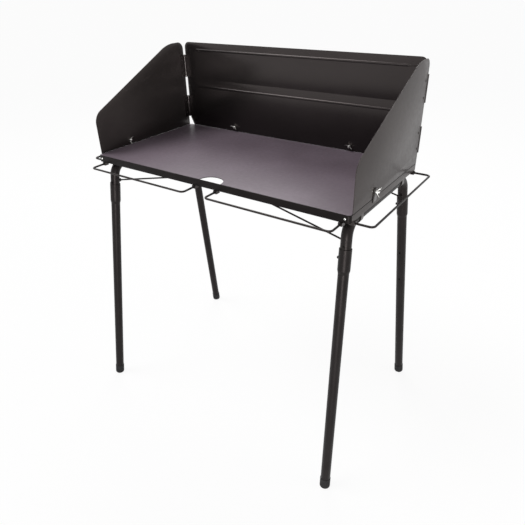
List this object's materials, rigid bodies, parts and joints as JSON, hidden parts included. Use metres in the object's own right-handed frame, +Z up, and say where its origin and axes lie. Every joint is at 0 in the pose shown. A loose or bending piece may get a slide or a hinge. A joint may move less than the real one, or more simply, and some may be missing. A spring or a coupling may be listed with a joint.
{
  "type": "folding camp cook table",
  "caption": "Folding camp cook table: steel top, hinged three-sided windscreen held by wing nuts, wire rails round the rim, and plug-on splayed tube legs.",
  "frame": {"origin": "on the floor, midway between the four feet", "axes": "+X to the right as seen from the front, +Y to the windscreen's back panel, +Z up"},
  "size_m": [1.03, 0.6652, 1.2],
  "materials": {
    "top_paint": "satin grey powder coat",
    "black_paint": "satin black powder coat",
    "wing_paint": "satin black powder coat",
    "tube_paint": "satin black powder coat",
    "wire_paint": "satin black powder coat",
    "zinc": "bright zinc plate",
    "spring_steel": "plain spring steel",
    "rubber": "matt moulded rubber"
  },
  "bodies": {
    "table": {"top_pan": "top_paint", "windscreen_tabs": "black_paint", "brace_keepers": "black_paint", "rail_sockets": "black_paint", "rim_rivets": "zinc", "back_panel": "black_paint", "left_hinge_back_leaves": "black_paint", "left_hinge_pins": "spring_steel", "right_hinge_back_leaves": "black_paint", "right_hinge_pins": "spring_steel", "back_hinge_rivets": "black_paint", "back_tab_bolts": "zinc", "left_tab_bolt": "zinc", "left_saddles": "black_paint", "right_saddles": "black_paint"},
    "left_wing": {"left_wing": "wing_paint", "left_hinge_wing_leaves": "black_paint", "left_wing_rivets": "wing_paint"},
    "right_wing": {"right_wing": "wing_paint", "right_hinge_wing_leaves": "black_paint", "right_wing_rivets": "wing_paint", "right_wing_bolt": "zinc"},
    "back_left_nut": {"back_left_nut": "zinc"},
    "back_right_nut": {"back_right_nut": "zinc"},
    "left_wing_nut": {"left_wing_nut": "zinc"},
    "right_wing_nut": {"right_wing_nut": "zinc"},
    "front_left_rail": {"front_left_rail": "wire_paint"},
    "front_right_rail": {"front_right_rail": "wire_paint"},
    "left_rail": {"left_rail": "wire_paint"},
    "right_rail": {"right_rail": "wire_paint"},
    "left_legs": {"left_leg_frame": "tube_paint", "left_brace_pins": "tube_paint", "front_left_lower_leg": "tube_paint", "front_left_foot_cap": "rubber", "front_left_spring": "spring_steel", "rear_left_lower_leg": "tube_paint", "rear_left_foot_cap": "rubber", "rear_left_spring": "spring_steel"},
    "left_braces": {"front_left_brace": "wire_paint", "rear_left_brace": "wire_paint"},
    "front_left_button": {"front_left_button": "tube_paint"},
    "rear_left_button": {"rear_left_button": "tube_paint"},
    "right_legs": {"right_leg_frame": "tube_paint", "right_brace_pins": "tube_paint", "front_right_lower_leg": "tube_paint", "front_right_foot_cap": "rubber", "front_right_spring": "spring_steel", "rear_right_lower_leg": "tube_paint", "rear_right_foot_cap": "rubber", "rear_right_spring": "spring_steel"},
    "right_braces": {"front_right_brace": "wire_paint", "rear_right_brace": "wire_paint"},
    "front_right_button": {"front_right_button": "tube_paint"},
    "rear_right_button": {"rear_right_button": "tube_paint"}
  },
  "joints": [
    {"name": "left_wing_fold", "type": "hinge", "parent": "table", "child": "left_wing", "pos_m": [-0.4563, 0.2263, 1.04], "axis": [0, 0, 1], "range_deg": [0, 83]},
    {"name": "left_leg_fold", "type": "hinge", "parent": "table", "child": "left_legs", "pos_m": [-0.436, 0, 0.862], "axis": [0, -1, 0], "range_deg": [0, 85]},
    {"name": "front_left_button_press", "type": "slide", "parent": "left_legs", "child": "front_left_button", "axis": [0.9988, 0, -0.0498], "range_m": [0, 0.0065], "stiffness_N_per_m": 900, "springref_m": -0.003, "deforming": ["front_left_spring"]},
    {"name": "rear_left_button_press", "type": "slide", "parent": "left_legs", "child": "rear_left_button", "axis": [0.9988, 0, -0.0498], "range_m": [0, 0.0065], "stiffness_N_per_m": 900, "springref_m": -0.003, "deforming": ["rear_left_spring"]},
    {"name": "left_brace_swing", "type": "hinge", "parent": "left_legs", "child": "left_braces", "pos_m": [-0.43909, 0, 0.80008], "axis": [0, -1, 0], "range_deg": [-95, 0]},
    {"name": "right_wing_fold", "type": "hinge", "parent": "table", "child": "right_wing", "pos_m": [0.4563, 0.2263, 1.04], "axis": [0, 0, -1], "range_deg": [0, 83]},
    {"name": "right_leg_fold", "type": "hinge", "parent": "table", "child": "right_legs", "pos_m": [0.436, 0, 0.862], "axis": [0, 1, 0], "range_deg": [0, 75]},
    {"name": "front_right_button_press", "type": "slide", "parent": "right_legs", "child": "front_right_button", "axis": [0.9988, 0, 0.0498], "range_m": [0, 0.0065], "stiffness_N_per_m": 900, "springref_m": -0.003, "deforming": ["front_right_spring"]},
    {"name": "rear_right_button_press", "type": "slide", "parent": "right_legs", "child": "rear_right_button", "axis": [0.9988, 0, 0.0498], "range_m": [0, 0.0065], "stiffness_N_per_m": 900, "springref_m": -0.003, "deforming": ["rear_right_spring"]},
    {"name": "right_brace_swing", "type": "hinge", "parent": "right_legs", "child": "right_braces", "pos_m": [0.43909, 0, 0.80008], "axis": [0, 1, 0], "range_deg": [-85, 0]},
    {"name": "back_left_nut_spin", "type": "hinge", "parent": "table", "child": "back_left_nut", "pos_m": [-0.235, 0.22, 0.916], "axis": [0, -1, 0], "continuous": true},
    {"name": "back_right_nut_spin", "type": "hinge", "parent": "table", "child": "back_right_nut", "pos_m": [0.235, 0.22, 0.916], "axis": [0, -1, 0], "continuous": true},
    {"name": "left_wing_nut_spin", "type": "hinge", "parent": "left_wing", "child": "left_wing_nut", "pos_m": [-0.452, -0.09, 0.916], "axis": [1, 0, 0], "continuous": true},
    {"name": "right_wing_nut_spin", "type": "hinge", "parent": "table", "child": "right_wing_nut", "pos_m": [0.468, -0.09, 0.916], "axis": [1, 0, 0], "continuous": true},
    {"name": "front_left_rail_pull", "type": "slide", "parent": "table", "child": "front_left_rail", "axis": [0, -1, 0], "range_m": [0, 0.012]},
    {"name": "front_right_rail_pull", "type": "slide", "parent": "table", "child": "front_right_rail", "axis": [0, -1, 0], "range_m": [0, 0.012]},
    {"name": "left_rail_pull", "type": "slide", "parent": "table", "child": "left_rail", "axis": [-1, 0, 0], "range_m": [0, 0.012]},
    {"name": "right_rail_pull", "type": "slide", "parent": "table", "child": "right_rail", "axis": [1, 0, 0], "range_m": [0, 0.012]}
  ],
  "couplings": [
    {"joint": "left_brace_swing", "follows": "left_leg_fold", "ratio": -1.1176},
    {"joint": "right_brace_swing", "follows": "right_leg_fold", "ratio": -1.1333}
  ]
}
